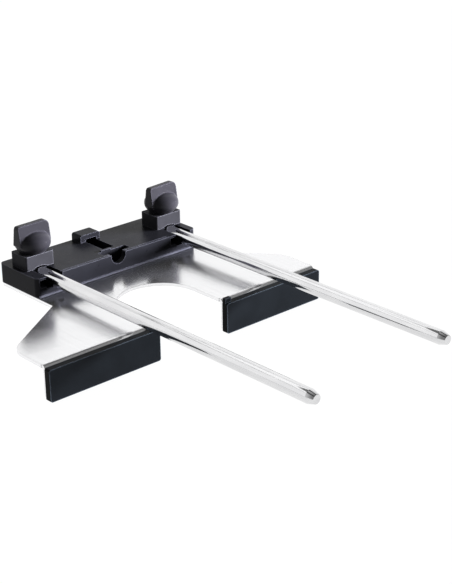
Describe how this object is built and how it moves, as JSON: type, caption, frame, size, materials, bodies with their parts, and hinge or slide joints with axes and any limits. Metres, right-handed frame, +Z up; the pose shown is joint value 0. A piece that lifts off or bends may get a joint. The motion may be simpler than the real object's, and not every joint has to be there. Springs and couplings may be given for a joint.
{
  "type": "router side fence",
  "caption": "Parallel side fence for a plunge router: bent steel plate with two black jaws, a carrier with wing-knob clamps and two chromed guide rods.",
  "frame": {"origin": "under the middle of the whole fence, level with the jaws' lower edge", "axes": "+Z up, +Y from the rods' free ends towards the carrier, +X along the fence face; the fence face is the plane y = 8 mm and faces -Y"},
  "size_m": [0.2, 0.249, 0.0582],
  "materials": {
    "housing_plastic": "fine satin moulded black",
    "block_plastic": "fine satin moulded black",
    "knob_plastic": "satin moulded black",
    "jaw_plastic": "smooth satin black, faintly blue",
    "polished_sheet": "bright polished sheet with soft reflections",
    "rod_chrome": "bright ground and plated bar",
    "brass": "turned",
    "screw_steel": "zinc plated"
  },
  "bodies": {
    "root": {"carrier": "housing_plastic", "left_clamp_block": "block_plastic", "right_clamp_block": "block_plastic", "left_thread_insert": "brass", "right_thread_insert": "brass", "fence_plate": "polished_sheet", "left_jaw": "jaw_plastic", "right_jaw": "jaw_plastic", "adjuster_bridge": "housing_plastic", "jaw_screws": "screw_steel", "plate_screws": "screw_steel", "block_screws": "screw_steel", "bridge_screws": "screw_steel"},
    "left_rod": {"left_guide_rod": "rod_chrome"},
    "right_rod": {"right_guide_rod": "rod_chrome"},
    "left_pad": {"left_pressure_pad": "brass"},
    "right_pad": {"right_pressure_pad": "brass"},
    "left_knob": {"left_wing_knob": "knob_plastic", "left_clamp_stud": "screw_steel"},
    "right_knob": {"right_wing_knob": "knob_plastic", "right_clamp_stud": "screw_steel"}
  },
  "joints": [
    {"name": "left_rod_slide", "type": "slide", "parent": "root", "child": "left_rod", "axis": [0, -1, 0], "range_m": [-0.2, 0.01]},
    {"name": "right_rod_slide", "type": "slide", "parent": "root", "child": "right_rod", "axis": [0, -1, 0], "range_m": [-0.2, 0.01]},
    {"name": "left_pad_lift", "type": "slide", "parent": "root", "child": "left_pad", "axis": [0, 0, 1], "range_m": [0, 0.0021]},
    {"name": "right_pad_lift", "type": "slide", "parent": "root", "child": "right_pad", "axis": [0, 0, 1], "range_m": [0, 0.0021]},
    {"name": "left_knob_turn", "type": "hinge", "parent": "left_pad", "child": "left_knob", "pos_m": [-0.0373, 0.1075, 0.0456], "axis": [0, 0, 1], "range_deg": [0, 720]},
    {"name": "right_knob_turn", "type": "hinge", "parent": "right_pad", "child": "right_knob", "pos_m": [0.0607, 0.1075, 0.0456], "axis": [0, 0, 1], "range_deg": [0, 720]}
  ],
  "couplings": [
    {"joint": "left_pad_lift", "follows": "left_knob_turn", "m_per_rad": 0.00015915},
    {"joint": "right_pad_lift", "follows": "right_knob_turn", "m_per_rad": 0.00015915}
  ]
}
